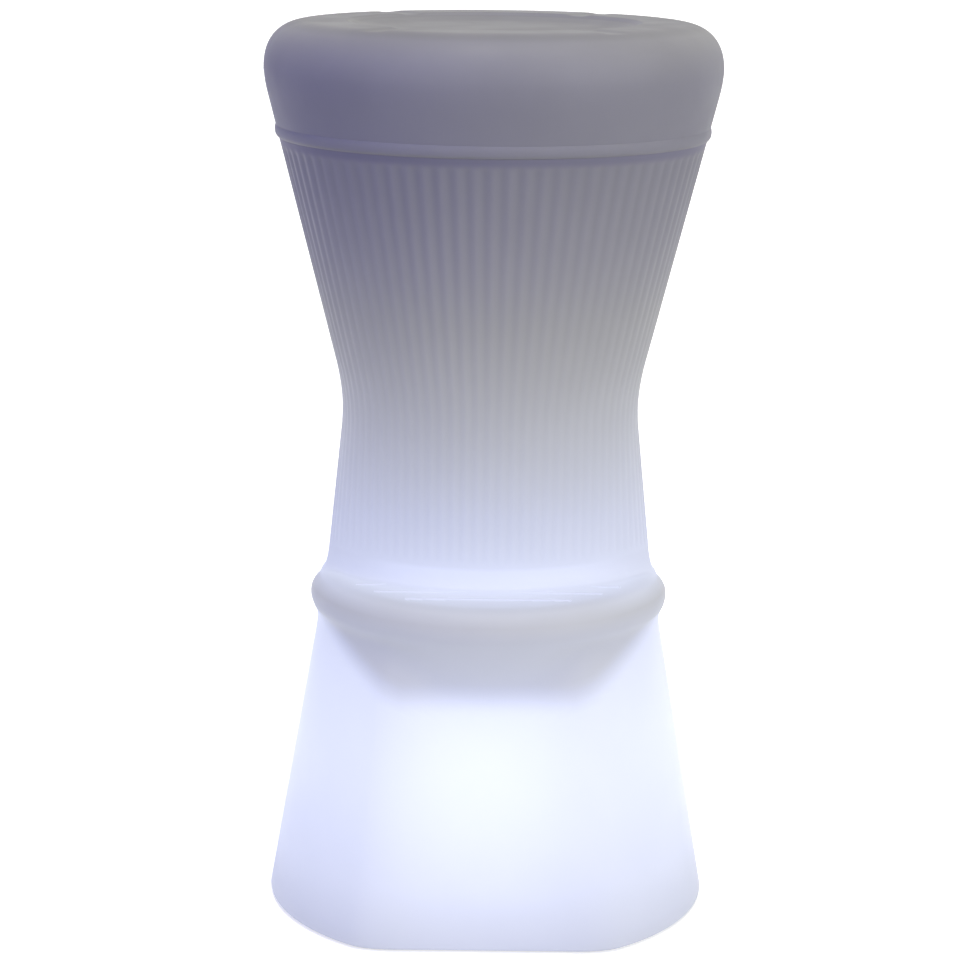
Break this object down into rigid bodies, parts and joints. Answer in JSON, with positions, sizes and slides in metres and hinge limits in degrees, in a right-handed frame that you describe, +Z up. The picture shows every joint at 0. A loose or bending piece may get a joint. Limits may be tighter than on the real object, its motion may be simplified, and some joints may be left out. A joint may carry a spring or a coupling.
{
  "type": "light-up bar stool",
  "caption": "Backless bar stool moulded as a ribbed hourglass shell with a dished seat, a footrest ledge, a flared flat-fronted base and a light unit with a push button and a hinged inlet door.",
  "frame": {"origin": "on the floor under the middle of the stool", "axes": "+Z up, the footrest towards -Y, +X to the right seen from the front"},
  "size_m": [0.3828, 0.3828, 0.76],
  "materials": {
    "milky_polyethylene": "milky, fine-grained polyethylene that lets lamp light through",
    "foot_rubber": "matt grey rubber",
    "seal_silicone": "soft grey silicone",
    "white_plastic": "satin white moulding",
    "opal_plastic": "smooth opal",
    "clear_plastic": "clear light pipe",
    "black_plastic": "satin black moulding",
    "zinc_steel": "bright zinc-plated steel",
    "insert_brass": "knurled brass",
    "plate_aluminium": "plain mill finish",
    "circuit_board": "green solder mask",
    "cell_wrap": "blue shrink wrap",
    "strap_webbing": "black woven strap",
    "red_insulation": "red lead insulation"
  },
  "bodies": {
    "root": {"stool_shell": "milky_polyethylene", "rubber_foot_1": "foot_rubber", "rubber_foot_2": "foot_rubber", "rubber_foot_3": "foot_rubber", "rubber_foot_4": "foot_rubber", "threaded_insert_1": "insert_brass", "threaded_insert_2": "insert_brass", "threaded_insert_3": "insert_brass", "threaded_insert_4": "insert_brass", "lamp_gasket": "seal_silicone", "lamp_screw_1": "zinc_steel", "lamp_screw_2": "zinc_steel", "lamp_screw_3": "zinc_steel", "lamp_screw_4": "zinc_steel", "lamp_base": "white_plastic", "button_switch": "black_plastic", "control_board": "circuit_board", "controller_chip_1": "black_plastic", "controller_chip_2": "black_plastic", "board_screw_1": "zinc_steel", "board_screw_2": "zinc_steel", "board_screw_3": "zinc_steel", "board_screw_4": "zinc_steel", "charge_indicator": "clear_plastic", "dc_socket": "black_plastic", "dc_socket_pin": "zinc_steel", "dc_socket_nut": "zinc_steel", "port_hinge_pin": "zinc_steel", "battery_tray": "white_plastic", "battery_cell_1": "cell_wrap", "battery_cell_2": "cell_wrap", "battery_strap": "strap_webbing", "battery_lead_red": "red_insulation", "battery_lead_black": "black_plastic", "socket_lead": "black_plastic", "led_lead": "white_plastic", "led_plate": "plate_aluminium", "led_plate_screw_1": "zinc_steel", "led_plate_screw_2": "zinc_steel", "led_plate_screw_3": "zinc_steel", "led_plate_screw_4": "zinc_steel", "led_chip_1": "opal_plastic", "led_chip_2": "opal_plastic", "led_chip_3": "opal_plastic", "led_chip_4": "opal_plastic", "led_chip_5": "opal_plastic", "led_chip_6": "opal_plastic", "led_chip_7": "opal_plastic", "led_chip_8": "opal_plastic", "ir_receiver": "black_plastic", "dome_seal": "seal_silicone", "diffuser_dome": "opal_plastic"},
    "power_button": {"power_button": "white_plastic", "switch_plunger": "black_plastic"},
    "port_cover": {"port_cover": "white_plastic"}
  },
  "joints": [
    {"name": "button_press", "type": "slide", "parent": "root", "child": "power_button", "axis": [0, 0, 1], "range_m": [0, 0.0008], "stiffness_N_per_m": 1500, "springref_m": -0.0002},
    {"name": "cover_hinge", "type": "hinge", "parent": "root", "child": "port_cover", "pos_m": [0.0405, -0.022, 0.0207], "axis": [0, -1, 0], "range_deg": [0, 110]}
  ]
}
